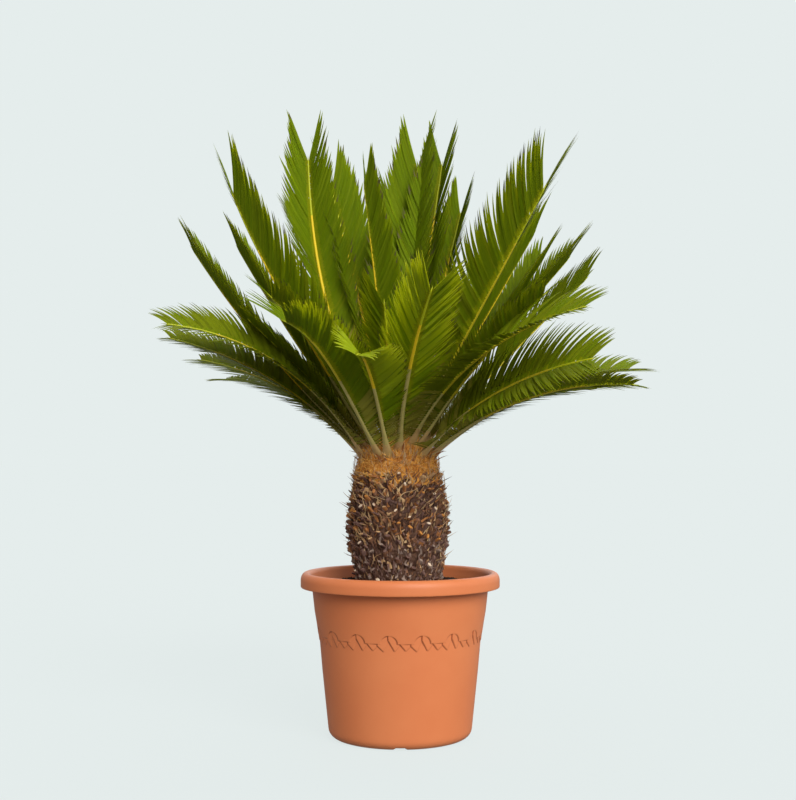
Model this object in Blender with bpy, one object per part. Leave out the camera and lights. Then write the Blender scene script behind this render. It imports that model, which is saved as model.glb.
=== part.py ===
"""Sago palm in a terracotta-coloured plastic pot.

Metres, +Z up. The origin is the middle of the pot's flat underside, +X is to the
right of someone who faces the plant, and +Y points away from them.
"""

import math
from collections import namedtuple

import bmesh
import bpy
import numpy as np
from mathutils import Vector
from mathutils.bvhtree import BVHTree

for old in list(bpy.data.objects):
    bpy.data.objects.remove(old, do_unlink=True)

# Driving dimensions of the pot
LATHE_SIDES = 40
RIM_RADIUS = 0.200
RIM_TOP = 0.330
RIM_BOTTOM = 0.3005
RIM_INNER_RADIUS = 0.178
LIP_WALL = 0.0035
WALL = 0.0035
FLOOR = 0.008
FOOT_RADIUS = 0.125
FOOT_FILLET = 0.0195
# Height and outer radius of the body, from above the foot to below the rim. It
# swells a little faster from 0.19 m on, where the ornament band lies.
BODY = (
    (0.136, 0.1566),
    (0.187, 0.1610),
    (0.194, 0.1623),
    (0.2125, 0.1646),
    (0.233, 0.1685),
    (0.253, 0.1720),
    (0.296, 0.1768),
)
DRAIN_COUNT = 4
DRAIN_INNER = 0.042
DRAIN_OUTER = 0.165
DRAIN_WIDTH = 0.029
DRAIN_TOP_WIDTH = 0.018
DRAIN_DEPTH = 0.005
DRAIN_HOLE_RADIUS = 0.007
DRAIN_HOLE_PLACE = 0.088
DRAIN_HOLE_SIDES = 12
CUT_MARGIN = 0.002

# Driving dimensions of the soil and the trunk
PIECE_GAP = 0.0003
SOIL_TOP = 0.306
SOIL_EDGE_DROP = 0.004
TRUNK_BOTTOM = SOIL_TOP + PIECE_GAP
TRUNK_SHOULDER = 0.564
# Height and radius of the trunk over the tips of its leaf bases.
TRUNK = (
    (TRUNK_BOTTOM, 0.089),
    (0.323, 0.094),
    (0.394, 0.102),
    (0.454, 0.102),
    (0.515, 0.0915),
    (TRUNK_SHOULDER, 0.081),
)
TRUNK_SIDES = 26
TRUNK_ROWS = 12
LEAF_BASE_DEPTH = 0.007
DOME_HEIGHT = 0.045
DOME_RINGS = (0.80, 0.55, 0.28)
TRUNK_FOOT_X = -0.003
TRUNK_LEAN = -0.003

# Driving dimensions of the fronds
CROWN_X = TRUNK_FOOT_X + TRUNK_LEAN
RIB_SAMPLES = 200
PETIOLE_END = 0.16
LEAFLET_PITCH = 0.016
SEAT_GAP = 0.0008
SEAT_REACH = 0.05
LEAF_CLEARANCE = 0.0008
RIB_WIDTH = (0.012, 0.0090, 0.0036)
RIB_HEIGHT = (0.009, 0.0065, 0.0030)
RIB_TIP = 0.018
STALK_SECTIONS = (0.0, 0.055, 0.11)
# Mean slope of the rib from which a frond counts as young, and at which it is wholly
# so. The fronds at the front are young although they droop.
YOUNG_FROM = 38
YOUNG_AT = 64
FRONT_YOUTH = 0.75
# Angle between a leaflet and the rib ahead of it, at shares of the rib, on an old
# and on a young frond.
AHEAD_AT = (0.0, 0.3, 0.7, 1.0)
OLD_AHEAD = (80, 70, 62, 48)
YOUNG_AHEAD = (62, 40, 28, 19)
# Angle of the two rows above the frond's plane, like the arms of a V.
LIFT_AT = (0.0, 0.3, 1.0)
OLD_LIFT = (34, 17, 12)
YOUNG_LIFT = (42, 36, 30)
# A leaflet's length as a share of the longest: what it has at the stalk, where it is
# full, and what it loses towards the tip of an old and of a young frond. The last
# few are shorter still.
SHARE_AT_STALK = 0.30
FULL_FROM = 0.5
TIP_FROM = 0.6
TIP_TO = 1.05
OLD_TIP_LOSS = 0.60
YOUNG_TIP_LOSS = 0.15
TIP_GAIN = 1.2
END_FROM = 0.94
END_LOSS = 0.55
# How far a leaflet's tip sinks under its own weight, as a share of its length.
SINK = 0.07
# Parts of its full length that a leaflet is tried at, until it is clear.
SHORTER = (1.0, 0.85, 0.7, 0.55, 0.4, 0.25, 0.15)

# One row for each frond. seat is the distance of its foot from the middle of the
# crown, in centimetres. turn is its compass direction, 0 along +X and 90 along +Y,
# and swing is how far it turns on its way. rise is its slope at the foot and droop
# is what the slope loses by the tip, at the pace of bow. length is the rib's, and
# leaflet the longest leaflet's, in centimetres. roll turns the frond about its rib,
# in degrees, past its stalk.
Frond = namedtuple("Frond", "name seat turn rise droop bow length swing leaflet roll")
FRONDS = tuple(Frond(*row) for row in (
    ("left_1", 6, 204, 57, -10, 4, 54.5, 0, 15.5, -4),
    ("left_2", 6, 164, 51, -8, 1, 49.5, 0, 12, -10),
    ("left_3", 7, 180, 42, -15, 1, 52.5, 0, 12.5, 2),
    ("left_4", 8, 200, 61, 56, 1, 47, 0, 14, 25),
    ("left_5", 8, 184, 50, 36, 1, 44, 0, 11, 20),
    ("left_6", 8, 160, 47, 36, 1, 42, 0, 11, 15),
    ("left_7", 8, 140, 42, 41, 1, 47, 0, 10, 10),
    ("left_8", 6, 222, 58, 22, 1, 37, 0, 11, 10),
    ("left_9", 6.5, 192, 52, 10, 1, 33, 0, 10, 10),
    ("front_1", 8, 240, 46, 36, 3, 39, 0, 13, 12),
    ("front_2", 8,256,50,60,2,36,8,11,20),
    ("front_3", 7, 273, 43, 4, 1, 41, 14, 12, 15),
    ("front_4", 4.5, 262, 66, 6, 1, 28, 0, 11, 0),
    ("right_1", 4, 315, 52, -2, 1, 55.5, 0, 18.5, -14),
    ("right_2", 6, 300, 48, 37, 1, 49, 28, 15, -25),
    ("right_3", 8, 314, 41, 32, 1, 41, 16, 16, -38),
    ("right_4", 8,335,40,44,1,43,0,11,12),
    ("right_5", 8, 2, 42, 36, 1, 42.5, 0, 18, -12),
    ("right_6", 6, 14, 46, 2, 1, 48.5, 0, 14, 18),
    ("right_7", 4.4, 16, 50, 2, 1, 49.5, 0, 15, 5),
    ("right_8", 6, 28, 53.5, 0, 1, 48, 0, 14, 10),
    ("right_9", 4, 356, 60, 0, 1, 47, 14, 12, 0),
    ("right_10", 6, 324, 54, 18, 1, 39, 0, 11, -10),
    ("top_1", 2.2, 88, 74, -2, 1, 59, -30, 15.5, 0),
    ("top_2", 4, 168, 62, -18, 1, 62, -64, 14, 20),
    ("top_3", 2.2, 127, 68, 0, 1, 57, 0, 15, 0),
    ("top_4", 2.2, 57, 75, 0, 1, 59, 0, 13.5, 0),
    ("top_5", 4, 51, 71, 0, 1, 50, -6, 12, 0),
    ("top_6", 1.1, 200, 83, 0, 1, 49, 0, 11, 0),
    ("back_1", 8, 60, 38, 34, 1, 46, 0, 13, 0),
    ("back_2", 8, 90, 40, 36, 1, 47, 0, 13, 0),
    ("back_3", 8, 118, 36, 32, 1, 45, 0, 13, 0),
    ("back_4", 6, 70, 52, 10, 1, 53, 0, 13, 0),
    ("back_5", 6, 105, 52, 10, 1, 54, 0, 13, 0),
    ("back_6", 4, 130, 60, 4, 1, 55, 0, 13, 0),
    ("back_7", 4, 92, 66, 2, 1, 57, 0, 13, 0),
    ("back_8", 8, 30, 36, 34, 1, 45, 0, 13, 0),
))

# Base colour, roughness and metallic value of each kind of piece
FINISHES = {
    "terracotta_plastic": ((0.60, 0.20, 0.10), 0.55, 0.0),
    "potting_soil": ((0.05, 0.03, 0.02), 0.95, 0.0),
    "trunk_fibre": ((0.14, 0.08, 0.05), 0.90, 0.0),
    "frond_green": ((0.10, 0.17, 0.01), 0.40, 0.0),
}


def finish(name, slot):
    """A Principled material of its own for one piece."""
    colour, roughness, metallic = FINISHES[slot]
    material = bpy.data.materials.new(f"{slot}_{name}")
    material.use_nodes = True
    shader = material.node_tree.nodes["Principled BSDF"]
    shader.inputs["Base Color"].default_value = (*colour, 1.0)
    shader.inputs["Roughness"].default_value = roughness
    shader.inputs["Metallic"].default_value = metallic
    return material


def place(name, slot, points, faces, smooth_angle=None):
    """Make one named object of points and faces, with its faces pointing out."""
    mesh = bpy.data.meshes.new(name)
    mesh.from_pydata([tuple(p) for p in points], [], faces)
    shape = bmesh.new()
    shape.from_mesh(mesh)
    bmesh.ops.recalc_face_normals(shape, faces=shape.faces)
    shape.to_mesh(mesh)
    shape.free()
    if smooth_angle is not None:
        mesh.shade_smooth()
        mesh.set_sharp_from_angle(angle=math.radians(smooth_angle))
    piece = bpy.data.objects.new(name, mesh)
    bpy.context.scene.collection.objects.link(piece)
    mesh.materials.append(finish(name, slot))
    return piece


def turned(profile, sides):
    """Points and faces of a profile of (radius, height) turned about the Z axis.

    The profile starts and ends on the axis, so the solid is closed.
    """
    points = [(0.0, 0.0, profile[0][1])]
    for radius, height in profile[1:-1]:
        for k in range(sides):
            angle = 2 * math.pi * k / sides
            points.append((radius * math.cos(angle), radius * math.sin(angle), height))
    points.append((0.0, 0.0, profile[-1][1]))
    faces = []
    rings = len(profile) - 2
    last = len(points) - 1
    for k in range(sides):
        after = (k + 1) % sides
        faces.append((0, 1 + after, 1 + k))
        for ring in range(rings - 1):
            low = 1 + ring * sides
            high = low + sides
            faces.append((low + k, low + after, high + after, high + k))
        top = 1 + (rings - 1) * sides
        faces.append((top + k, top + after, last))
    return points, faces


def arc(middle_r, middle_z, radius, start, end, steps):
    """Points of (radius, height) along an arc, in degrees."""
    angles = np.radians(np.linspace(start, end, steps))
    return [(middle_r + radius * math.cos(a), middle_z + radius * math.sin(a)) for a in angles]


def inner_wall():
    """The pot's inside, from the middle of its floor up to below the rim."""
    fillet = FOOT_FILLET - WALL
    foot = arc(FOOT_RADIUS, FLOOR + fillet, fillet, -90, -8, 3)
    return [(0.0, FLOOR)] + foot + [(radius - WALL, height) for height, radius in BODY]


def pot_profile():
    """The pot's outline: underside, body, rolled rim, and the inside down again."""
    outside = [(0.0, 0.0)] + arc(FOOT_RADIUS, FOOT_FILLET, FOOT_FILLET, -90, -6, 4)
    outside += [(radius, height) for height, radius in BODY]
    neck = BODY[-1][1]
    skirt = RIM_RADIUS - LIP_WALL
    rim = [
        (neck + 0.001, RIM_TOP - 2 * LIP_WALL),
        (skirt, RIM_TOP - 2 * LIP_WALL),
        (skirt, RIM_BOTTOM + 0.001),
        (RIM_RADIUS - 0.0015, RIM_BOTTOM),
        (RIM_RADIUS, RIM_BOTTOM + 0.004),
        (RIM_RADIUS, RIM_TOP - 0.007),
        (RIM_RADIUS - 0.002, RIM_TOP - 0.002),
        (RIM_RADIUS - 0.007, RIM_TOP),
        (RIM_INNER_RADIUS + 0.004, RIM_TOP - 0.0005),
        (RIM_INNER_RADIUS, RIM_TOP - 0.004),
    ]
    return outside + rim + inner_wall()[::-1]


def bar(width_low, width_high, depth, inner, outer, angle):
    """Corners of a tapered bar that lies under the pot, along a radius."""
    low, high = -CUT_MARGIN, depth
    corners = []
    for reach in (inner, outer):
        for half, height in ((-width_low, low), (width_low, low), (width_high, high), (-width_high, high)):
            across = half / 2
            corners.append((
                reach * math.cos(angle) - across * math.sin(angle),
                reach * math.sin(angle) + across * math.cos(angle),
                height,
            ))
    return corners


BAR_FACES = ((0, 1, 2, 3), (7, 6, 5, 4), (0, 4, 5, 1), (1, 5, 6, 2), (2, 6, 7, 3), (3, 7, 4, 0))


def make_pot():
    """The pot, with drain grooves and drain holes cut into its underside."""
    points, faces = turned(pot_profile(), LATHE_SIDES)
    pot = place("pot", "terracotta_plastic", points, faces, smooth_angle=35)
    groove_points = []
    groove_faces = []
    holes = bmesh.new()
    for k in range(DRAIN_COUNT):
        angle = 2 * math.pi * k / DRAIN_COUNT
        first = len(groove_points)
        groove_points += bar(DRAIN_WIDTH, DRAIN_TOP_WIDTH, DRAIN_DEPTH, DRAIN_INNER, DRAIN_OUTER, angle)
        groove_faces += [tuple(first + corner for corner in face) for face in BAR_FACES]
        made = bmesh.ops.create_cone(
            holes, cap_ends=True, segments=DRAIN_HOLE_SIDES, radius1=DRAIN_HOLE_RADIUS,
            radius2=DRAIN_HOLE_RADIUS, depth=FLOOR)
        middle = Vector((math.cos(angle), math.sin(angle), 0.0)) * DRAIN_HOLE_PLACE
        middle.z = DRAIN_DEPTH + FLOOR / 2 - CUT_MARGIN
        bmesh.ops.translate(holes, verts=made["verts"], vec=middle)
    grooves = place("cutter_grooves", "terracotta_plastic", groove_points, groove_faces)
    hole_mesh = bpy.data.meshes.new("cutter_holes")
    holes.to_mesh(hole_mesh)
    holes.free()
    hole_cutter = bpy.data.objects.new("cutter_holes", hole_mesh)
    bpy.context.scene.collection.objects.link(hole_cutter)
    for cutter in (grooves, hole_cutter):
        cutter.hide_render = True
        cutter.display_type = "WIRE"
        cut = pot.modifiers.new(cutter.name, "BOOLEAN")
        cut.operation = "DIFFERENCE"
        cut.solver = "EXACT"
        cut.object = cutter
    return pot


def make_soil():
    """The soil fills the pot, clear of the wall by a hair."""
    slack = 2 * PIECE_GAP
    inside = [(max(0.0, radius - slack), height + slack) for radius, height in inner_wall()]
    top_radius = inside[-1][0]
    profile = inside + [
        (top_radius, SOIL_TOP - SOIL_EDGE_DROP),
        (top_radius - 0.012, SOIL_TOP),
        (0.0, SOIL_TOP),
    ]
    points, faces = turned(profile, LATHE_SIDES)
    return place("soil", "potting_soil", points, faces, smooth_angle=35)


def trunk_middle(height):
    """The trunk's middle leans a little to the left on its way up."""
    share = (height - TRUNK_BOTTOM) / (TRUNK_SHOULDER - TRUNK_BOTTOM)
    return TRUNK_FOOT_X + TRUNK_LEAN * share


def dome_height(radius):
    """Height of the crown's dome at a distance from its middle."""
    shoulder = TRUNK[-1][1]
    return TRUNK_SHOULDER + DOME_HEIGHT * (1 - (radius / shoulder) ** 2)


def make_trunk():
    """A barrel of leaf bases: every second point of its net stands out, as on a cone."""
    heights, radii = zip(*TRUNK)
    points = [(trunk_middle(TRUNK_BOTTOM), 0.0, TRUNK_BOTTOM)]
    levels = np.linspace(TRUNK_BOTTOM, TRUNK_SHOULDER, TRUNK_ROWS + 1)
    rings = [(float(z), float(np.interp(z, heights, radii)), True) for z in levels]
    shoulder = TRUNK[-1][1]
    rings += [(dome_height(shoulder * part), shoulder * part, False) for part in DOME_RINGS]
    for row, (height, radius, rough) in enumerate(rings):
        for k in range(TRUNK_SIDES):
            angle = 2 * math.pi * k / TRUNK_SIDES
            sunk = rough and 0 < row < TRUNK_ROWS and (row + k) % 2 == 0
            reach = radius - (LEAF_BASE_DEPTH if sunk else 0.0)
            points.append((
                trunk_middle(min(height, TRUNK_SHOULDER)) + reach * math.cos(angle),
                reach * math.sin(angle),
                height,
            ))
    points.append((CROWN_X, 0.0, dome_height(0.0)))
    last = len(points) - 1
    faces = []
    for k in range(TRUNK_SIDES):
        after = (k + 1) % TRUNK_SIDES
        faces.append((0, 1 + after, 1 + k))
        for row in range(len(rings) - 1):
            low = 1 + row * TRUNK_SIDES
            high = low + TRUNK_SIDES
            # Each square of the net is halved between its two raised corners.
            if (row + k) % 2:
                faces += [(low + k, low + after, high + after), (low + k, high + after, high + k)]
            else:
                faces += [(low + k, low + after, high + k), (low + after, high + after, high + k)]
        top = 1 + (len(rings) - 1) * TRUNK_SIDES
        faces.append((top + k, top + after, last))
    return place("trunk", "trunk_fibre", points, faces)


def ease(low, high, value):
    """0 below low, 1 above high, and a smooth step between them."""
    share = min(1.0, max(0.0, (value - low) / (high - low)))
    return share * share * (3 - 2 * share)


class Rib:
    """The midrib of a frond: its points, and the ways forward, up and aside from it."""

    def __init__(self, frond):
        self.t = np.linspace(0.0, 1.0, RIB_SAMPLES + 1)
        slope = np.radians(frond.rise - frond.droop * self.t ** frond.bow)
        turn = np.radians(frond.turn + frond.swing * self.t)
        run, climb = np.cos(slope), np.sin(slope)
        self.forward = np.stack([run * np.cos(turn), run * np.sin(turn), climb], 1)
        level_up = np.stack([-climb * np.cos(turn), -climb * np.sin(turn), run], 1)
        level_side = np.cross(self.forward, level_up)
        twist = [ease(0.0, PETIOLE_END, share) for share in self.t]
        roll = (np.array(twist) * math.radians(frond.roll))[:, None]
        self.up = level_up * np.cos(roll) - level_side * np.sin(roll)
        self.side = np.cross(self.forward, self.up)
        steps = (self.forward[1:] + self.forward[:-1]) / 2 * (frond.length * 0.01 / RIB_SAMPLES)
        foot_turn = math.radians(frond.turn)
        seat = frond.seat * 0.01
        aside, along = seat * math.cos(foot_turn), seat * math.sin(foot_turn)
        foot = np.array([CROWN_X + aside, along, dome_height(seat)])
        self.points = foot + np.vstack([np.zeros(3), np.cumsum(steps, axis=0)])

    def at(self, t):
        """Point, forward, up and side at a share of the length."""
        sample = min(RIB_SAMPLES, int(round(t * RIB_SAMPLES)))
        return [Vector(way[sample]) for way in (self.points, self.forward, self.up, self.side)]

    def section(self, t):
        """The rib's three corners: left, right, and the ridge above them."""
        point, _, up, side = self.at(t)
        width = np.interp(t, (0.0, PETIOLE_END, 1.0), RIB_WIDTH)
        height = np.interp(t, (0.0, PETIOLE_END, 1.0), RIB_HEIGHT)
        return [point - side * (width / 2), point + side * (width / 2), point + up * height]


def seat_corner(corner, forward, trunk_tree):
    """Slide a corner of the rib's foot along the rib, to just above the trunk."""
    hit, normal, _, _ = trunk_tree.ray_cast(corner + forward * SEAT_REACH, -forward)
    return hit + forward * (SEAT_GAP / normal.dot(forward))


def youth(frond):
    """0 for a frond whose mean slope is low, 1 for an upright one."""
    if frond.name.startswith("front"):
        return FRONT_YOUTH
    slope = frond.rise - frond.droop / 2
    return min(1.0, max(0.0, (slope - YOUNG_FROM) / (YOUNG_AT - YOUNG_FROM)))


def by_age(young, t, at, old_values, young_values):
    """A value at a share of the rib, between that of an old and of a young frond."""
    return np.interp(t, at, old_values) * (1 - young) + np.interp(t, at, young_values) * young


def leaflet_length(frond, t):
    """Length of a leaflet: short at the stalk, then full, and less towards the tip."""
    tip_loss = max(OLD_TIP_LOSS - TIP_GAIN * youth(frond), YOUNG_TIP_LOSS)
    full = ease(PETIOLE_END / 2, FULL_FROM, t) * (1 - tip_loss * ease(TIP_FROM, TIP_TO, t))
    full *= 1 - END_LOSS * (1 - youth(frond)) * ease(END_FROM, 1.0, t)
    return frond.leaflet * 0.01 * (SHARE_AT_STALK + (1 - SHARE_AT_STALK) * full)


def leaflet_tip(frond, rib, t, sign, part):
    """The tip of the leaflet at a share of the rib, right (1) or left (-1) of it.

    Both rows rise from the rib like the letter V and point forward, more so on a
    young frond and towards the frond's tip.
    """
    point, forward, up, side = rib.at(t)
    young = youth(frond)
    ahead = math.radians(by_age(young, t, AHEAD_AT, OLD_AHEAD, YOUNG_AHEAD))
    lift = math.radians(by_age(young, t, LIFT_AT, OLD_LIFT, YOUNG_LIFT))
    outward = side * (sign * math.cos(lift)) + up * math.sin(lift)
    way = forward * math.cos(ahead) + outward * math.sin(ahead)
    return point + (way - Vector((0.0, 0.0, SINK))) * (leaflet_length(frond, t) * part)


def stations(frond):
    """Shares of the rib where its sections stand: a few on the stalk, then one a pitch."""
    count = round(frond.length * 0.01 * (1 - PETIOLE_END) / LEAFLET_PITCH)
    return [*STALK_SECTIONS, *(float(t) for t in np.linspace(PETIOLE_END, 1.0, count + 1))]


def rib_sections(frond, rib, trunk_tree):
    """All sections of the rib, the first one fitted to the trunk, and its end point."""
    sections = [rib.section(t) for t in stations(frond)]
    foot_forward = rib.at(0.0)[1]
    sections[0] = [seat_corner(corner, foot_forward, trunk_tree) for corner in sections[0]]
    point, forward, _, _ = rib.at(1.0)
    return sections, point + forward * RIB_TIP


def tree_of(points, faces):
    """A search tree of a mesh, with the box it fills."""
    low = Vector([min(p[axis] for p in points) for axis in range(3)])
    high = Vector([max(p[axis] for p in points) for axis in range(3)])
    return BVHTree.FromPolygons([tuple(p) for p in points], faces), low, high


def is_clear(own, points, faces, taken):
    """True where a small mesh touches nothing that is already taken, its own frond apart."""
    tree, low, high = tree_of(points, faces)
    for name, (other, other_low, other_high) in taken.items():
        if name == own:
            continue
        if any(low[axis] > other_high[axis] or high[axis] < other_low[axis] for axis in range(3)):
            continue
        if tree.overlap(other):
            return False
    return True


def bare_rib(sections, end):
    """Points and faces of the rib without leaflets."""
    points = [corner for section in sections for corner in section] + [end]
    faces = [(0, 1, 2)]
    for k in range(len(sections) - 1):
        low = 3 * k
        for a, b in ((0, 1), (1, 2), (2, 0)):
            faces.append((low + a, low + b, low + 3 + b, low + 3 + a))
    last = 3 * (len(sections) - 1)
    faces += [(last + a, last + b, len(points) - 1) for a, b in ((0, 1), (1, 2), (2, 0))]
    return points, faces


def leaflet_probe(root, tip):
    """A leaflet a little fatter and longer than the real one, to keep air round it."""
    middle = sum(root, Vector()) / 4
    fat = [corner + (corner - middle).normalized() * LEAF_CLEARANCE for corner in root]
    far = tip + (tip - middle).normalized() * (2 * LEAF_CLEARANCE)
    beside = (root[1] - root[0]).normalized() * LEAF_CLEARANCE
    return fat + [far - beside, far + beside]


PROBE_FACES = ((0, 1, 5, 4), (1, 2, 5), (2, 3, 4, 5), (3, 0, 4))


def make_frond(frond, rib, sections, end, taken):
    """A frond: the rib, and a blade cut to the rib between its leaflets.

    A leaflet is a pyramid whose root is the rib's side between two sections. One
    that would touch something is made shorter, and left out if that doesn't help.
    """
    points, _ = bare_rib(sections, end)
    faces = [(0, 1, 2)]
    shares = stations(frond)
    for k in range(len(sections) - 1):
        low = 3 * k
        faces.append((low, low + 1, low + 4, low + 3))
        for sign, corner in ((-1, 0), (1, 1)):
            ring = (low + corner, low + 2, low + 5, low + 3 + corner)
            tip = None
            if shares[k] >= PETIOLE_END:
                root = [points[i] for i in ring]
                middle = (shares[k] + shares[k + 1]) / 2
                for part in SHORTER:
                    trial = leaflet_tip(frond, rib, middle, sign, part)
                    if is_clear(frond.name, leaflet_probe(root, trial), PROBE_FACES, taken):
                        tip = trial
                        break
            if tip is None:
                faces.append(ring)
                continue
            points.append(tip)
            peak = len(points) - 1
            faces += [(ring[i], ring[(i + 1) % 4], peak) for i in range(4)]
    last = 3 * (len(sections) - 1)
    end_index = 3 * len(sections)
    faces += [(last + a, last + b, end_index) for a, b in ((0, 1), (1, 2), (2, 0))]
    taken[frond.name] = tree_of(points, faces)
    return place(f"frond_{frond.name}", "frond_green", points, faces)


def mesh_tree(piece):
    """A search tree of a finished object."""
    points = [vertex.co.copy() for vertex in piece.data.vertices]
    return tree_of(points, [tuple(polygon.vertices) for polygon in piece.data.polygons])


pot = make_pot()
soil = make_soil()
trunk = make_trunk()
taken = {"trunk": mesh_tree(trunk), "soil": mesh_tree(soil), "pot": mesh_tree(pot)}
ribs = {frond.name: Rib(frond) for frond in FRONDS}
skeletons = {frond.name: rib_sections(frond, ribs[frond.name], taken["trunk"][0]) for frond in FRONDS}
for frond in FRONDS:
    taken[frond.name] = tree_of(*bare_rib(*skeletons[frond.name]))
for frond in FRONDS:
    make_frond(frond, ribs[frond.name], *skeletons[frond.name], taken)
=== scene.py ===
# %% [markdown]
# # A sago palm in its pot
# The plant is a short scaly trunk with a crown of stiff feather fronds, in a round
# moulded pot. The CAD frame holds coarse solids of all of it for the physics, and
# this lesson puts a detailed piece in the place of each of them. The frame is loaded
# first, and its box is kept to compare sizes at the end.

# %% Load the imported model
from collections import namedtuple

import bpy
import numpy as np
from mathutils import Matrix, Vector
from numpy import (arange, array, clip, concatenate, cos, cross, interp, linspace, pi, radians,
                   repeat, sin, stack, where)


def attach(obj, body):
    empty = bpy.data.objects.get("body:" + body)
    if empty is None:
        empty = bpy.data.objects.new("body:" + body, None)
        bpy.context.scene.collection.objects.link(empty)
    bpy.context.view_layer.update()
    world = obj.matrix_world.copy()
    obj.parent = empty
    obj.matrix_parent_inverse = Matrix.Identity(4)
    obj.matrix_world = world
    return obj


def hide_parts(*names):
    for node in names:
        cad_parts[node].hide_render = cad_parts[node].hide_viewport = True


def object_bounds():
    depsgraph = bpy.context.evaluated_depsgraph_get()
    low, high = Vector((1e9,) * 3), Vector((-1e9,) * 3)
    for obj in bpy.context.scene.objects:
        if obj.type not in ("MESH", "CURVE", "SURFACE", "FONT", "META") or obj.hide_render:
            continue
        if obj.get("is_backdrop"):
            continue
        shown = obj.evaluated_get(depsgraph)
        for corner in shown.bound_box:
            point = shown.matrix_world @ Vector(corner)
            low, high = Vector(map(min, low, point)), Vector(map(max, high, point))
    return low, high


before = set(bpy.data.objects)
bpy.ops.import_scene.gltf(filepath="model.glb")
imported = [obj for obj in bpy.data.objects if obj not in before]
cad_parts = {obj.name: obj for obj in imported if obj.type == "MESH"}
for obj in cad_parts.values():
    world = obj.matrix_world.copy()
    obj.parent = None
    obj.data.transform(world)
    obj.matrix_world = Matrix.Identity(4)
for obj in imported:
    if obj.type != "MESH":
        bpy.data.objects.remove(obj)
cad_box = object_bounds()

print("CAD nodes:", len(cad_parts))
print("CAD box:", [tuple(round(value, 4) for value in corner) for corner in cad_box])

# %% [markdown]
# ## Surfaces from whole arrays
# Nearly every piece here is a net of points: a profile turned about an axis, or an
# outline carried along a path. If the points are one numpy array, the faces follow
# from the rows and columns alone, so no loop over vertices is needed.

# %% Nets of points
UP = array([0.0, 0.0, 1.0])


def round_the_axis(columns):
    """Angles of the columns of a net that goes once round."""
    return linspace(0, 2 * pi, columns, endpoint=False)


def turned(radius, angle, height):
    """Points with x = radius cos(angle), y = radius sin(angle) and z = height."""
    around = np.broadcast_arrays(radius * cos(angle), radius * sin(angle), height)
    return stack(around, -1)


def net(rows, columns):
    """Quads of a net whose last column joins the first: a point, the next one in its row,
    and the two above them."""
    row, column = arange(rows - 1)[:, None] * columns, arange(columns)[None, :]
    beside = (column + 1) % columns
    corners = (row + column, row + beside, row + beside + columns, row + column + columns)
    return stack(np.broadcast_arrays(*corners), -1).reshape(-1, 4)


def caps(rows, columns):
    """Triangles from a net's first and last row to the two poles that follow its points."""
    side, pole = arange(columns), np.full(columns, rows * columns)
    after, top = (side + 1) % columns, (rows - 1) * columns
    return concatenate([stack([pole, after, side], 1),
                        stack([pole + 1, top + side, top + after], 1)])


def closed_turn(points):
    """Points and faces of a turned net, with a pole on the axis at each end."""
    size = points.shape[:2]
    points = concatenate([points.reshape(-1, 3), points[[0, -1], 0] * UP])
    return points, [net(*size), caps(*size)]


# %% Finished pieces
def put(name, data):
    """A new object at the origin."""
    thing = bpy.data.objects.new(name, data)
    bpy.context.scene.collection.objects.link(thing)
    return thing


def place(name, slot, materials, points, faces, tints=None, crease=40):
    """One finished piece of points (n, 3) and of arrays of quads or triangles. tints gives
    each face the number of its material, and edges sharper than crease degrees stay sharp."""
    corners = concatenate([part.ravel() for part in faces]).astype(np.int32)
    sizes = concatenate([np.full(len(part), part.shape[1]) for part in faces])
    mesh = bpy.data.meshes.new(name)
    mesh.vertices.add(len(points))
    mesh.vertices.foreach_set("co", points.astype(np.float32).ravel())
    mesh.loops.add(len(corners))
    mesh.loops.foreach_set("vertex_index", corners)
    mesh.polygons.add(len(sizes))
    mesh.polygons.foreach_set("loop_start", (np.cumsum(sizes) - sizes).astype(np.int32))
    for material in materials:
        mesh.materials.append(material)
    if tints is not None:
        mesh.polygons.foreach_set("material_index", tints.astype(np.int32))
    mesh.update(calc_edges=True)
    mesh.shade_smooth()
    mesh.set_sharp_from_angle(angle=radians(crease))
    piece = put(name, mesh)
    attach(piece, "root")
    print(f"{name}: {int((sizes - 2).sum())} triangles")
    return piece


# %% Outlines carried along paths
def unit(vectors):
    """Each vector divided by its own length."""
    return vectors / np.linalg.norm(vectors, axis=-1, keepdims=True)


def ring(sides, start=0.0):
    """An outline of unit width and height, from start degrees on."""
    angle = radians(start) + 2 * pi * arange(sides) / sides
    return stack([cos(angle), sin(angle)], 1) / 2


def sweep(paths, across, over, widths, heights, outline, tips, tints):
    """Carry one outline along many paths, each closed at its foot and at its tip.

    A point is the path's point, plus across times width times the outline's x, plus
    over times height times the outline's y. Faces point out if the cross product of
    across and over points back along the path. paths are (copies, sections, 3), and
    one section of across, over or tints may do for all. The result is the points, the
    quads and triangles, and the tint of each face.
    """
    copies, sections = widths.shape
    sides = len(outline)
    rings = (paths[:, :, None]
             + across[:, :, None] * (widths[:, :, None] * outline[:, 0])[..., None]
             + over[:, :, None] * (heights[:, :, None] * outline[:, 1])[..., None])
    rings = rings.reshape(copies, sections * sides, 3)
    points = concatenate([rings, paths[:, :1], tips[:, None]], 1)
    shift = (arange(copies) * points.shape[1])[:, None, None]
    faces = [(part[:, ::-1] + shift).reshape(-1, part.shape[1])
             for part in (net(sections, sides), caps(sections, sides))]
    tints = np.broadcast_to(tints, widths.shape)
    tints = [repeat(part, sides, axis=1).ravel() for part in (tints[:, :-1], tints[:, [0, -1]])]
    return points.reshape(-1, 3), faces, concatenate(tints)


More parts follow.
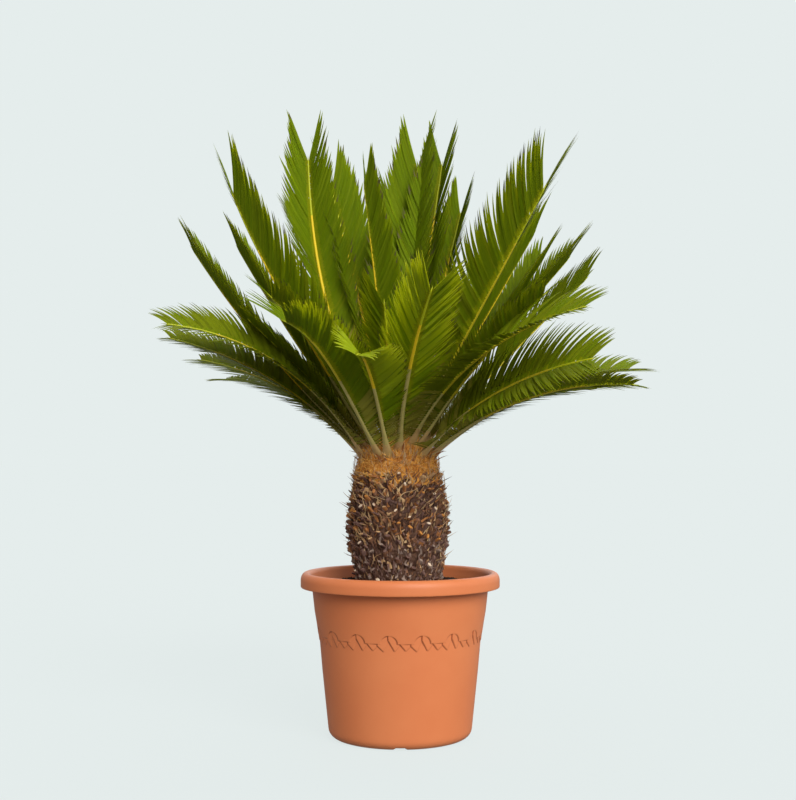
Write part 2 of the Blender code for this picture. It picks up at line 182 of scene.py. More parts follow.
def join(parts):
    """Several sweeps as one: points one after another, and faces shifted to match."""
    starts = np.cumsum([0] + [len(points) for points, _, _ in parts[:-1]])
    faces = [concatenate([part[1][kind] + start for part, start in zip(parts, starts)])
             for kind in (0, 1)]
    tints = [np.split(tints, [len(faces[0])]) for _, faces, tints in parts]
    tints = concatenate([pair[kind] for kind in (0, 1) for pair in tints])
    return concatenate([points for points, _, _ in parts]), faces, tints


# %% Noise and soft steps
def ripples(points, size, seed, waves=28):
    """Smooth noise from about -1 to 1: a sum of sines in random directions. size is the
    length of a wave in metres, one number or one for each axis."""
    chance = np.random.default_rng(seed)
    ways = unit(chance.normal(size=(waves, 3))) * chance.uniform(0.7, 1.5, (waves, 1))
    phases = chance.uniform(0, 2 * pi, waves)
    scaled = points * (2 * pi / np.broadcast_to(size, 3))
    return sum(sin(scaled @ way + phase) for way, phase in zip(ways, phases)) / np.sqrt(waves)


def ease(low, high, value):
    """0 below low, 1 above high, and a smooth step between them."""
    share = clip((value - low) / (high - low), 0, 1)
    return share * share * (3 - 2 * share)


# %% [markdown]
# ## One effect for every finish
# Plastic, soil, bark and leaves all have a colour that drifts in soft patches, a
# grain that catches the light, and a gloss that varies with it. That could be built
# anew in each material. It is one node group here, and each material places it with
# its own values. It reads Object coordinates, so the pattern stays on the piece.

# %% Helpers for nodes
def add(tree, *kinds):
    """A new shader node of each kind."""
    return [tree.nodes.new("ShaderNode" + kind) for kind in kinds]


def fill(node, **values):
    """Constant values for a node's own sockets. In a socket's name, _ stands for a space."""
    for label, value in values.items():
        node.inputs[label.replace("_", " ")].default_value = value


def wire(tree, *rows):
    """Links. A row is a node, its output, the next node and its input."""
    for start, output, end, entry in rows:
        tree.links.new(start.outputs[output], end.inputs[entry])


# %% The shared group of patches and grain
def patches_and_grain():
    """Group: coarse noise times Patch Contrast mixes two colours, and fine noise gives the
    height, and times Roughness Change what is added to Roughness."""
    group = bpy.data.node_groups.new("Patches and grain", "ShaderNodeTree")
    for way, kind, labels in (
            ("INPUT", "Color", ("Colour", "Patch Colour")),
            ("INPUT", "Vector", ("Stretch",)),
            ("INPUT", "Float", ("Patch Scale", "Patch Contrast", "Grain Scale")),
            ("INPUT", "Float", ("Roughness", "Roughness Change")),
            ("OUTPUT", "Color", ("Colour",)), ("OUTPUT", "Float", ("Roughness", "Height"))):
        for label in labels:
            group.interface.new_socket(label, in_out=way, socket_type="NodeSocket" + kind)
    entry, result = (group.nodes.new("NodeGroup" + end) for end in ("Input", "Output"))
    at, stretch, patches, grain, contrast, mix, rough = add(
        group, "TexCoord", "VectorMath", "TexNoise", "TexNoise", "MapRange", "Mix", "Math")
    stretch.operation, mix.data_type, rough.operation = "MULTIPLY", "RGBA", "MULTIPLY_ADD"
    fill(patches, Detail=4.0)
    fill(grain, Detail=3.0)
    fill(contrast, From_Min=0.35, From_Max=0.65)
    wire(group, (at, "Object", stretch, 0), (entry, "Stretch", stretch, 1),
         (stretch, 0, patches, "Vector"), (entry, "Patch Scale", patches, "Scale"),
         (stretch, 0, grain, "Vector"), (entry, "Grain Scale", grain, "Scale"),
         (patches, "Fac", contrast, "Value"), (entry, "Patch Contrast", contrast, "To Max"),
         (contrast, 0, mix, "Factor"), (entry, "Colour", mix, "A"),
         (entry, "Patch Colour", mix, "B"), (grain, "Fac", rough, 0),
         (entry, "Roughness Change", rough, 1), (entry, "Roughness", rough, 2),
         (mix, "Result", result, "Colour"), (rough, 0, result, "Roughness"),
         (grain, "Fac", result, "Height"))
    return group


PATCHES = patches_and_grain()
print("shared group:", len(PATCHES.nodes), "nodes")


# %% A finish for one kind of surface
def finish(name, colour, patch_colour, scale=20, contrast=0.8, grain=300, stretch=(1, 1, 1),
           roughness=0.5, change=0.15, bump=0.2, depth=0.0005, specular=0.4):
    """A Principled material whose colour, roughness and bump come from the group."""
    material = bpy.data.materials.new(name)
    material.use_nodes = True
    tree = material.node_tree
    shader = tree.nodes["Principled BSDF"]
    group, relief = add(tree, "Group", "Bump")
    group.node_tree, group.name = PATCHES, "Patches"
    fill(shader, Specular_IOR_Level=specular)
    fill(group, Colour=(*colour, 1), Patch_Colour=(*patch_colour, 1), Patch_Scale=scale,
         Patch_Contrast=contrast, Grain_Scale=grain, Stretch=stretch,
         Roughness=roughness - change / 2, Roughness_Change=change)
    fill(relief, Strength=bump, Distance=depth)
    wire(tree, (group, "Colour", shader, "Base Color"), (group, "Height", relief, "Height"),
         (group, "Roughness", shader, "Roughness"), (relief, "Normal", shader, "Normal"))
    return material


# %% [markdown]
# ## The pot
# The real pot is moulded plastic: a plain tapering body, a band of ornament round it,
# a broad rolled rim, and drain grooves under the foot. A profile turned about the
# axis gives all of it. It goes from the middle of the underside up the outside, over
# the rim and down the inside to the floor, so the wall has its thickness.

# %% The pot's measures
POT_COLUMNS = 928
WALL, FLOOR = 0.0035, 0.008
FOOT_RADIUS, FOOT_FILLET, INNER_FILLET = 0.125, 0.0195, 0.016
UNDERSIDE_RADII = (0.02, 0.036, 0.0415, 0.0425, 0.06, 0.08, 0.1, 0.115)
FLOOR_RADII = (0.08, 0.02)
BAND_LOW, BAND_HIGH, BAND_ROWS = 0.1905, 0.2275, 40
# Heights and radii of the body's outer line: the low one is the plain taper at the
# foot of the relief, and the high one stands at its top and goes on up to the rim.
BODY_LOW = ((0.0175, 0.1444), (0.136, 0.1566), (0.187, 0.161), (0.23, 0.1647))
BODY_HIGH = ((0.187, 0.1626), (0.2072, 0.1648), (0.2327, 0.1685), (0.2529, 0.172),
             (0.296, 0.1768))
LOW_ROWS, HIGH_ROWS = (0.024, 0.136, 0.187), (0.2327, 0.2529, 0.275, 0.296)
INNER_ROWS = (0.313, 0.304, 0.296, 0.2529, 0.2327, 0.187, 0.136, 0.028)
RIM_RADIUS, RIM_INNER_RADIUS = 0.2, 0.178
RIM_BOTTOM, ROLL_FROM, INNER_ROLL_FROM, RIM_TOP = 0.3005, 0.315, 0.32, 0.33
RIM_FACE = (0.307, 0.311)
SKIRT_ROUNDING = 0.0018
INNER_LIP = 0.003
# The hollow between the body and the rim's skirt, as radii and heights.
UNDER_RIM = ((0.1776, 0.315), (0.18, 0.3215), (0.1935, 0.3215), (0.1965, 0.318))


# %% The pot's profile
def arc(middle_r, middle_z, reach_r, reach_z, start, end, steps):
    """Points (radius, height) on part of an ellipse, in degrees."""
    angle = radians(linspace(start, end, steps))
    return stack([middle_r + reach_r * cos(angle), middle_z + reach_z * sin(angle)], 1)


def body_line(heights, table):
    """Points (radius, height) of the body, straight between the table's rows."""
    return stack([interp(heights, *zip(*table)), heights], 1)


def pot_profile():
    """Outline of the pot as an array of (radius, height)."""
    middle = (RIM_RADIUS + RIM_INNER_RADIUS) / 2
    inside = body_line(INNER_ROWS, BODY_LOW[:3] + BODY_HIGH[1:]) - (WALL, 0)
    inside[0, 0] += INNER_LIP
    return concatenate([
        [(radius, 0) for radius in UNDERSIDE_RADII],
        arc(FOOT_RADIUS, FOOT_FILLET, FOOT_FILLET, FOOT_FILLET, -90, -6, 8),
        body_line(LOW_ROWS, BODY_LOW),
        body_line(linspace(BAND_LOW, BAND_HIGH, BAND_ROWS), BODY_HIGH),
        body_line(HIGH_ROWS, BODY_HIGH),
        UNDER_RIM,
        arc(RIM_RADIUS - WALL / 2, RIM_BOTTOM + SKIRT_ROUNDING, WALL / 2, SKIRT_ROUNDING,
            180, 360, 7),
        [(RIM_RADIUS, height) for height in RIM_FACE],
        arc(middle, ROLL_FROM, RIM_RADIUS - middle, RIM_TOP - ROLL_FROM, 0, 90, 9),
        arc(middle, INNER_ROLL_FROM, middle - RIM_INNER_RADIUS, RIM_TOP - INNER_ROLL_FROM,
            90, 180, 7)[1:],
        inside,
        arc(FOOT_RADIUS, FLOOR + INNER_FILLET, INNER_FILLET, INNER_FILLET, -8, -90, 4),
        [(radius, FLOOR) for radius in FLOOR_RADII],
    ])


profile = pot_profile()
print("pot profile:", len(profile), "points, widest", round(profile[:, 0].max(), 4))

# %% [markdown]
# A running ornament of the old leaf and dart kind goes round the pot sixteen times: a
# pair of pointed leaves under a small arch, then one dart under a straight bar. As
# real relief it breaks the outline and takes the light, which a bump would not.

# %% The running ornament of the band
UNITS, UNIT_START = 16, 0.833
UNIT_WIDTH = 2 * pi * 0.165 / UNITS
BAR_HEIGHT = 0.2072
ARCH_HALF_WIDTH, ARCH_RISE, ARCH_SLOPE = 0.0165, 0.016, 0.8
EDGE_ROUNDING = 0.0006
# The lower edge of the leaves: places across a unit, and heights there. Tips and the
# valleys between the leaves take turns.
EDGE_X = array([-0.0324, -0.0225, -0.0105, -0.0015, 0.011, 0.0215, 0.0324])
EDGE_Z = array([0.1938, 0.203, 0.1922, 0.214, 0.193, 0.2065, 0.1938])
LEAF_LEFT, LEAF_RIGHT = 0.95, 0.25


def band_level(angle, height):
    """How far the band stands out, from 0 for the low body to 1 for the high body.

    Above the bar and outside the arch it is 1. Below, a leaf's level falls evenly from
    its left edge to its right one, and it is 0 under the leaf's lower edge.
    """
    x = ((angle / (2 * pi) * UNITS + UNIT_START) % 1.0 - 0.5) * UNIT_WIDTH
    from_arch = np.hypot(x / ARCH_HALF_WIDTH, (height - BAR_HEIGHT) / ARCH_RISE) - 1
    from_edge = np.minimum(height - BAR_HEIGHT, from_arch * ARCH_RISE * ARCH_SLOPE)
    above = ease(-EDGE_ROUNDING, EDGE_ROUNDING, from_edge)
    valleys = EDGE_X[1::2]
    leaf = np.searchsorted(valleys, x) - 1
    widths = np.diff(np.append(valleys, valleys[0] + UNIT_WIDTH))
    share = (x - valleys[leaf]) % UNIT_WIDTH / widths[leaf]
    steps = np.diff(EDGE_X)
    slope = interp(x, EDGE_X[:-1] + steps / 2, np.abs(np.diff(EDGE_Z) / steps))
    beyond = (height - interp(x, EDGE_X, EDGE_Z)) / np.hypot(1, slope)
    level = LEAF_LEFT + (LEAF_RIGHT - LEAF_LEFT) * share
    level = level * ease(-EDGE_ROUNDING, EDGE_ROUNDING, beyond)
    return level + (1 - level) * above


# %% Where shade is painted at the foot of the relief's rises
# Painted shade: the band's colour is darkened at the foot of each rise, as if the relief blocked
# the light there.
TAPER_OF_ROW = 0.0002
FULL_RISE, UPWARD_SHARE = 0.0008, 0.7
PAINTED_SHADE_STRENGTH = 0.8


def painted_shade_at_rises(radius):
    """Painted shade, 0 to 1, where the surface climbs just to the right of a point or just above
    it.
    """
    right = np.maximum(np.roll(radius, -1, 1), np.roll(radius, -2, 1)) - radius
    higher = np.vstack([radius[1:], radius[-1:]]) - radius - TAPER_OF_ROW
    return clip(np.maximum(right, higher * UPWARD_SHARE) / FULL_RISE, 0, 1)


# %% The pot's surface
GROOVE_INNER, GROOVE_DEPTH = 0.042, 0.005
GROOVE_FOOT, GROOVE_TOP = 0.0145, 0.009


def drain_grooves(points):
    """Heights of the underside, raised in four radial grooves: fully within GROOVE_TOP of
    a groove's middle line, and then less up to GROOVE_FOOT."""
    x, y = points[..., 0], points[..., 1]
    near = np.round(np.arctan2(y, x) / (pi / 2)) * (pi / 2)
    out, aside = x * cos(near) + y * sin(near), np.abs(y * cos(near) - x * sin(near))
    deep = clip((GROOVE_FOOT - aside) / (GROOVE_FOOT - GROOVE_TOP), 0, 1)
    return np.maximum(points[..., 2], deep * (out > GROOVE_INNER) * GROOVE_DEPTH)


def pot_surface(profile):
    """Points of the turned profile with its band and grooves, and the painted shade of each
    point.
    """
    angle = round_the_axis(POT_COLUMNS)[None, :]
    radius, height = repeat(profile[:, :1], POT_COLUMNS, 1), profile[:, 1:]
    outside = arange(len(profile)) < np.argmax(profile[:, 1] > RIM_BOTTOM)
    band = outside & (profile[:, 1] >= BAND_LOW) & (profile[:, 1] <= BAND_HIGH)
    low = body_line(profile[band, 1], BODY_LOW)[:, :1]
    radius[band] = low + band_level(angle, height[band]) * (radius[band] - low)
    # Painted shade at the foot of the band's rises.
    shade = np.zeros_like(radius)
    shade[band] = painted_shade_at_rises(radius[band]) * PAINTED_SHADE_STRENGTH
    points = turned(radius, angle, height)
    under = outside & (profile[:, 1] < GROOVE_DEPTH)
    points[under, :, 2] = drain_grooves(points[under])
    return points, shade


# %% The pot's plastic
terracotta = finish("terracotta plastic", (0.74, 0.232, 0.086), (0.69, 0.197, 0.07), 7,
                    contrast=0.7, grain=900, roughness=0.42, change=0.1, bump=0.1,
                    depth=0.0004, specular=0.3)
tree = terracotta.node_tree
# Painted shade: the colour goes towards this deep red as far as the attribute says, in the
# band's creases.
painted_crease_shade, paint_shade = add(tree, "Attribute", "Mix")
painted_crease_shade.attribute_name, paint_shade.data_type = "painted_crease_shade", "RGBA"
fill(paint_shade, B=(0.25, 0.055, 0.02, 1))
wire(tree, (painted_crease_shade, "Fac", paint_shade, "Factor"), (tree.nodes["Patches"], "Colour", paint_shade, "A"),
     (paint_shade, "Result", tree.nodes["Principled BSDF"], "Base Color"))

# %% Put the pot in place
pot_points, pot_painted_shade = pot_surface(profile)
pot = place("pot_moulded", "terracotta_plastic", [terracotta], *closed_turn(pot_points),
            crease=50)
# Each point's painted shade, with none at the two poles.
painted_crease_shade = pot.data.attributes.new("painted_crease_shade", "FLOAT", "POINT")
painted_crease_shade.data.foreach_set("value", np.append(pot_painted_shade, [0, 0]).astype(np.float32))
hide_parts("pot")

# %% [markdown]
# ## The soil
# Moist potting soil is nearly black and crumbly. A turned surface with noise on its
# top gives the lie of it, and a few thousand crumbs give the grain. They are one mesh
# made from arrays, because thousands of objects would be slow.

# %% The lie of the soil
SOIL_COLUMNS, SOIL_RINGS = 240, 70
SOIL_TOP, SOIL_LEVEL, SOIL_RADIUS = 0.306, 0.3045, 0.1718
SLOPE_FROM, SLOPE_DROP = 0.155, 0.004
# Radii and heights from the underside up the pot's wall, which they keep just clear of.
SOIL_SIDE = ((0.06, 0.0086), (0.125, 0.0086), (0.134, 0.0105), (0.14, 0.024),
             (0.1525, 0.136), (0.1569, 0.187), (0.1644, 0.2327), (0.168, 0.2529),
             (SOIL_RADIUS, 0.294))


def mounds(points):
    """Height of the broad mounds."""
    return 0.0022 * ripples(points, 0.05, 3)


def drop_to_wall(radius):
    """How far the top falls away towards the pot's wall."""
    return SLOPE_DROP * ease(SLOPE_FROM, SOIL_RADIUS, radius)


def soil_surface():
    """A body that fills the pot: its side follows the wall, its top is noise on a slope."""
    level = [(radius, SOIL_LEVEL) for radius in linspace(SOIL_RADIUS - 0.001, 0.004, SOIL_RINGS)]
    line = concatenate([SOIL_SIDE, level])
    points = turned(line[:, :1], round_the_axis(SOIL_COLUMNS), line[:, 1:])
    top = points[len(SOIL_SIDE):]
    top[..., 2] += mounds(top) + 0.0011 * ripples(top, 0.011, 4)
    top[..., 2] -= drop_to_wall(np.linalg.norm(top[..., :2], axis=-1))
    return points


moist_soil = finish("moist soil", (0.018, 0.011, 0.007), (0.045, 0.026, 0.015), 260,
                    grain=900, roughness=0.85, bump=0.8, depth=0.002, specular=0.25)
dry_crumb = finish("dry soil crumb", (0.06, 0.036, 0.022), (0.11, 0.07, 0.045), 200,
                   grain=900, roughness=0.9, bump=0.5, specular=0.2)
soil = place("soil_body", "potting_soil", [moist_soil], *closed_turn(soil_surface()), crease=70)
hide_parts("soil")

# %% Loose crumbs
CRUMBS = 3600
CRUMB_TINTS = [moist_soil, moist_soil, moist_soil, dry_crumb]
TRUNK_FOOT_RADIUS = 0.086
LUMP_AT, LUMP_WIDTHS = array([-0.5, 0.0, 0.45]), array([0.55, 1.0, 0.6])
LUMP_FLATNESS, LUMP_TIP = 0.8, 0.62


def lumps(places, sizes, chance):
    """Small six-sided lumps: three rings and a tip, each squeezed and turned at random."""
    count = len(places)
    over = unit(chance.normal(size=(count, 3)))
    across = unit(cross(over, chance.normal(size=(count, 3))))
    way = cross(across, over)
    paths = places[:, None] + way[:, None] * (sizes[:, None] * LUMP_AT)[..., None]
    widths = sizes[:, None] * LUMP_WIDTHS * chance.uniform(0.75, 1.15, (count, 3))
    tips = places + way * (sizes * LUMP_TIP)[:, None]
    return sweep(paths, -across[:, None], over[:, None], widths, widths * LUMP_FLATNESS, ring(6),
                 tips, chance.integers(0, len(CRUMB_TINTS), (count, 1)))


chance = np.random.default_rng(11)
crumb_r = np.sqrt(chance.uniform(TRUNK_FOOT_RADIUS ** 2, (SOIL_RADIUS - 0.003) ** 2, CRUMBS))
crumb_turn = chance.uniform(0, 2 * pi, CRUMBS)
crumb_size = 0.0016 + 0.005 * chance.random(CRUMBS) ** 2.5
crumb_places = turned(crumb_r, crumb_turn, SOIL_TOP - 0.001 - drop_to_wall(crumb_r))
crumb_places[:, 2] += mounds(crumb_places * (1, 1, 0) + (0, 0, SOIL_LEVEL))
place("soil_crumbs", "potting_soil", CRUMB_TINTS, *lumps(crumb_places, crumb_size, chance))

# %% [markdown]
# ## The trunk
# A sago palm's trunk is a barrel of old leaf bases in spirals, with narrow scale
# leaves between them, and orange wool where this year's fronds grow. They stick out
# far enough to be seen against the sky, so they stand on a rough core as pieces of
# their own, in the spiral of the golden angle.

# %% The trunk's shape and places on it
TRUNK_BOTTOM, TRUNK_SHOULDER = 0.3063, 0.564
SHOULDER_RADIUS, DOME_HEIGHT = 0.081, 0.045
# Heights of the outer line over the tips of the leaf bases, and its radii.
TRUNK = ((TRUNK_BOTTOM, 0.323, 0.394, 0.454, 0.515, TRUNK_SHOULDER),
         (0.089, 0.094, 0.102, 0.102, 0.0915, SHOULDER_RADIUS))
LOW_ZONE, HIGH_ZONE = 0.395, 0.5
TRUNK_FOOT_X, TRUNK_LEAN = -0.003, -0.003
CROWN_X = TRUNK_FOOT_X + TRUNK_LEAN
GOLDEN_ANGLE = pi * (3 - 5 ** 0.5)


def trunk_middle(height):
    """X of the trunk's middle, which leans a little to the left on its way up."""
    share = (np.minimum(height, TRUNK_SHOULDER) - TRUNK_BOTTOM) / (TRUNK_SHOULDER - TRUNK_BOTTOM)
    return TRUNK_FOOT_X + TRUNK_LEAN * share


def dome_height(radius):
    """Height of the crown's dome, which falls with the square of the radius."""
    return TRUNK_SHOULDER + DOME_HEIGHT * (1 - (radius / SHOULDER_RADIUS) ** 2)


def on_trunk(height, angle, depth):
    """Points at a depth under the trunk's outer line, and the ways out of it and round it."""
    out = turned(1, angle, 0)
    points = turned(interp(height, *TRUNK) - depth, angle, height)
    points[..., 0] += trunk_middle(height)
    return points, out, cross(UP, out)


def spiral(count, low, high, chance, stray=2.25):
    """Heights and angles in the spiral of the golden angle, uneven by stray steps of height."""
    number = arange(count)
    height = low + (high - low) * (number + chance.uniform(-stray, stray, count)) / count
    return clip(height, low, high), number * GOLDEN_ANGLE + chance.normal(0, 0.035, count)


# %% The core of the trunk
CORE_COLUMNS, CORE_ROWS, DOME_ROWS = 280, 150, 24
CORE_DEPTH, DOME_DEPTH = 0.0085, 0.004
FELT_FROM, FELT_EDGE = 0.514, 0.01


def core_surface():
    """A turned profile, sunk under the leaf bases, with noise as upright ridges and
    hollows, and the height of each row before the noise."""
    side = linspace(TRUNK_BOTTOM - 0.002, TRUNK_SHOULDER, CORE_ROWS)
    dome = SHOULDER_RADIUS * linspace(0.86, 0.03, DOME_ROWS)
    radius = concatenate([interp(side, *TRUNK) - CORE_DEPTH, dome])[:, None]
    height = concatenate([side, dome_height(dome) - DOME_DEPTH])[:, None]
    points = turned(radius, round_the_axis(CORE_COLUMNS), height)
    rough = 0.0016 * ripples(points, (0.008, 0.008, 0.03), 5)
    rough += 0.0012 * ripples(points, 0.006, 6)
    on_dome = points[..., 2:] > TRUNK_SHOULDER
    away = unit(points * (1, 1, 0) + (0, 0, 1e-4) + on_dome * (0, 0, 0.05))
    points += away * rough[..., None]
    points[..., 0] += trunk_middle(points[..., 2])
    return points, height


bark = finish("dark bark fibre", (0.06, 0.027, 0.017), (0.14, 0.075, 0.047), 120,
              grain=420, stretch=(1, 1, 0.3), roughness=0.9, bump=1.0, depth=0.002,
              specular=0.15)
felt = finish("orange felt", (0.9, 0.44, 0.09), (0.45, 0.18, 0.04), 110, grain=600,
              stretch=(1, 1, 0.4), roughness=0.95, bump=1.0, depth=0.002, specular=0.1)
core_points, core_height = core_surface()
border = FELT_FROM + FELT_EDGE * ripples(core_points[:-1], 0.03, 7)
core_tints = (core_height[:-1] > border).astype(int).ravel()
core_tints = np.append(core_tints, repeat([0, 1], CORE_COLUMNS))
core = place("trunk_core", "trunk_fibre", [bark, felt], *closed_turn(core_points), core_tints,
             crease=80)
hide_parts("trunk")

# %% Finishes of the leaf bases and scales
FIBRE = dict(scale=160, stretch=(1, 1, 0.4), roughness=0.85, bump=0.6, specular=0.2)
CUT_END = dict(scale=260, roughness=0.8, bump=0.5, specular=0.2)
TRUNK_TINTS = [
    finish("umber leaf base", (0.14, 0.06, 0.032), (0.34, 0.17, 0.09), **FIBRE),
    finish("plum leaf base", (0.105, 0.054, 0.043), (0.27, 0.155, 0.118), **FIBRE),
    finish("rust leaf base", (0.5, 0.21, 0.065), (0.33, 0.13, 0.05), **FIBRE),
    finish("tan scale", (0.62, 0.39, 0.19), (0.42, 0.24, 0.11),
           **FIBRE | dict(roughness=0.8, bump=0.5)),
    finish("straw strand", (0.78, 0.55, 0.28), (0.6, 0.38, 0.17), 160, roughness=0.75,
           bump=0.3, specular=0.25),
    finish("cream cut end", (0.86, 0.7, 0.52), (0.62, 0.42, 0.26), **CUT_END),
    finish("amber cut end", (0.66, 0.28, 0.06), (0.42, 0.17, 0.04), **CUT_END),
    finish("ash scale", (0.36, 0.26, 0.2), (0.22, 0.15, 0.12), **FIBRE | dict(scale=200)),
]
UMBER, PLUM, RUST, TAN, STRAW, CREAM, AMBER, ASH = range(8)


def draw(chance, shares, count):
    """Tints drawn by their shares."""
    return chance.choice(list(shares), count, p=list(shares.values()))


def deal(height, chance, *zones):
    """A tint for each height: the low, middle and high zone have their own shares."""
    zone = np.digitize(height + chance.normal(0, 0.008, len(height)), (LOW_ZONE, HIGH_ZONE))
    return np.choose(zone, [draw(chance, shares, len(height)) for shares in zones])


# %% [markdown]
# A leaf base is what is left of a frond's stalk: a flattened stub that points up and
# out, with a cut end. Most ends have weathered brown, and a few are still cream or
# amber. Each stub is an outline of eight points carried along four sections.

# %% Stubs of old fronds
STUBS = 330
STUB_AT, STUB_TAPER = array([0.0, 0.5, 0.9, 1.0]), array([1.25, 1.0, 0.82, 0.62])
SHORT_BELOW, SHORTER = 0.366, 0.72


def stubs(chance):
    """Flattened stubs in the golden spiral. A path runs straight from its root at lift
    degrees above level, and twist turns the stub's broad side about it."""
    height, angle = spiral(STUBS, 0.314, 0.522, chance)
    root, out, around = on_trunk(height, angle, 0.012)
    lift = radians(chance.uniform(12, 48, STUBS))[:, None]
    way = out * cos(lift) + UP * sin(lift)
    length = chance.uniform(0.01, 0.0185, STUBS) * where(height < SHORT_BELOW, SHORTER, 1.0)
    widths = chance.uniform(0.0085, 0.0145, (STUBS, 1)) * STUB_TAPER
    paths = root[:, None] + way[:, None] * (length[:, None] * STUB_AT)[..., None]
    twist = radians(chance.normal(0, 40, (STUBS, 1)))
    across = unit(around * cos(twist) + cross(around, way) * sin(twist))[:, None]
    thickness = 0.45 + 0.15 * chance.random((STUBS, 1))
    body = deal(height, chance, {UMBER: 0.3, PLUM: 0.4, ASH: 0.3},
                {UMBER: 0.38, PLUM: 0.37, RUST: 0.25}, {UMBER: 0.3, RUST: 0.45, TAN: 0.25})
    end = deal(height, chance, {PLUM: 0.45, ASH: 0.37, TAN: 0.12, CREAM: 0.06},
               {UMBER: 0.28, PLUM: 0.3, TAN: 0.14, CREAM: 0.13, AMBER: 0.15},
               {UMBER: 0.2, RUST: 0.3, TAN: 0.2, CREAM: 0.08, AMBER: 0.22})
    hollow_end = paths[:, -1] - way * (length * 0.06)[:, None]
    return sweep(paths, across, cross(across, way[:, None]), widths, widths * thickness,
                 ring(8, 22.5), hollow_end, stack([body, body, end, end], 1))


place("trunk_leaf_bases", "trunk_fibre", TRUNK_TINTS, *stubs(np.random.default_rng(21)),
      crease=50)

# %% [markdown]
# Between the stubs grow narrow, pointed scale leaves. They dry to brown and tan
# flakes that lean every way, and some wear down to a spike. One function makes both:
# a flattened outline along a path that bends up or out.

# %% The rule of the flakes
def flakes(height, angle, length, width, lift, slant, curl, thickness, tints, depth, sections=4):
    """Pointed flakes that leave the bark at lift degrees above level, and lean sideways by
    slant degrees.

    At the share s of its length, a path is root + length (way s + over curl s^2), and
    the width is that at the root times (1 - s^2).
    """
    root, out, around = on_trunk(height, angle, depth)
    lift, slant = radians(lift)[:, None], radians(slant)[:, None]
    upward = UP * cos(slant) + around * sin(slant)
    across = around * cos(slant) - UP * sin(slant)
    way = out * cos(lift) + upward * sin(lift)
    over = upward * cos(lift) - out * sin(lift)
    share = linspace(0, 0.85, sections)
    bend = over[:, None] * (curl[:, None] * share ** 2)[..., None]
    paths = root[:, None] + length[:, None, None] * (way[:, None] * share[:, None] + bend)
    tips = root + length[:, None] * (way + over * curl[:, None])
    widths = width[:, None] * (1 - share ** 2)
    return sweep(paths, -across[:, None], over[:, None], widths, widths * thickness, ring(4),
                 tips, tints[:, None])


def pointed(count, low, high, shares, lengths, widths, lifts, slant, curls, chance, **form):
    """Flakes of one kind. Lengths, widths, lifts and curls lie evenly between two values,
    and slants are normal with a spread of slant degrees."""
    height, angle = spiral(count, low, high, chance, stray=8.1)
    tints = draw(chance, shares, count)
    length, width, lift = (chance.uniform(*span, count) for span in (lengths, widths, lifts))
    slant, curl = chance.normal(0, slant, count), chance.uniform(*curls, count)
    return flakes(height, angle, length, width, lift, slant, curl, tints=tints, **form)


# %% Flakes and spikes in place
FLAKES, SPIKES = 2100, 210
chance = np.random.default_rng(31)
flake_z, flake_turn = spiral(FLAKES, 0.308, 0.53, chance, stray=8.1)
browns = deal(flake_z, chance, {UMBER: 0.26, PLUM: 0.36, ASH: 0.28, TAN: 0.1},
              {UMBER: 0.29, PLUM: 0.29, RUST: 0.21, TAN: 0.15, STRAW: 0.06},
              {UMBER: 0.18, PLUM: 0.08, RUST: 0.36, TAN: 0.25, STRAW: 0.13})
is_low = flake_z < LOW_ZONE
flake_length = chance.uniform(0.008, 0.019, FLAKES) * where(is_low, 0.8, 1.0)
flake_lift = where(is_low, chance.uniform(60, 88, FLAKES), chance.uniform(38, 80, FLAKES))
flake_slant = chance.normal(0, 1, FLAKES) * where(is_low, 12, 38)
flake_width = chance.uniform(0.0022, 0.006, FLAKES)
bark_flakes = flakes(flake_z, flake_turn, flake_length, flake_width, flake_lift, flake_slant,
                     chance.uniform(-0.3, 0.3, FLAKES), 0.3, browns, 0.008)
spikes = pointed(SPIKES, 0.346, 0.518, {UMBER: 0.4, PLUM: 0.2, TAN: 0.4}, (0.016, 0.034),
                 (0.0014, 0.0028), (15, 62), 20, (-0.1, 0.3), chance, thickness=0.8, depth=0.009)
place("trunk_scales", "trunk_fibre", TRUNK_TINTS, *join([bark_flakes, spikes]))

# %% [markdown]
# The neck of the crown is clothed in orange wool, and longer scale leaves stand
# round it. The wool is several thousand short bent slivers that lie every which way,
# mostly upward, so that it looks like felt and not like fur.

# %% Scale leaves and wool of the crown
CROWN_SCALES, WOOL = 60, 5200
chance = np.random.default_rng(41)
crown_scales = pointed(
    CROWN_SCALES, 0.544, 0.566, {UMBER: 0.12, RUST: 0.38, TAN: 0.35, STRAW: 0.15},
    (0.02, 0.042), (0.005, 0.01), (40, 82), 14, (-0.5, -0.1), chance, thickness=0.55,
    depth=0.014, sections=6)
WOOL_TINTS = [finish(name, colour, patch, 60, roughness=0.9, specular=0.15)
              for name, colour, patch in (
                  ("light wool", (0.98, 0.62, 0.17), (0.95, 0.5, 0.1)),
                  ("dark wool", (0.7, 0.31, 0.06), (0.48, 0.19, 0.04)))]
ON_DOME, DARK_WOOL = 0.45, 0.3


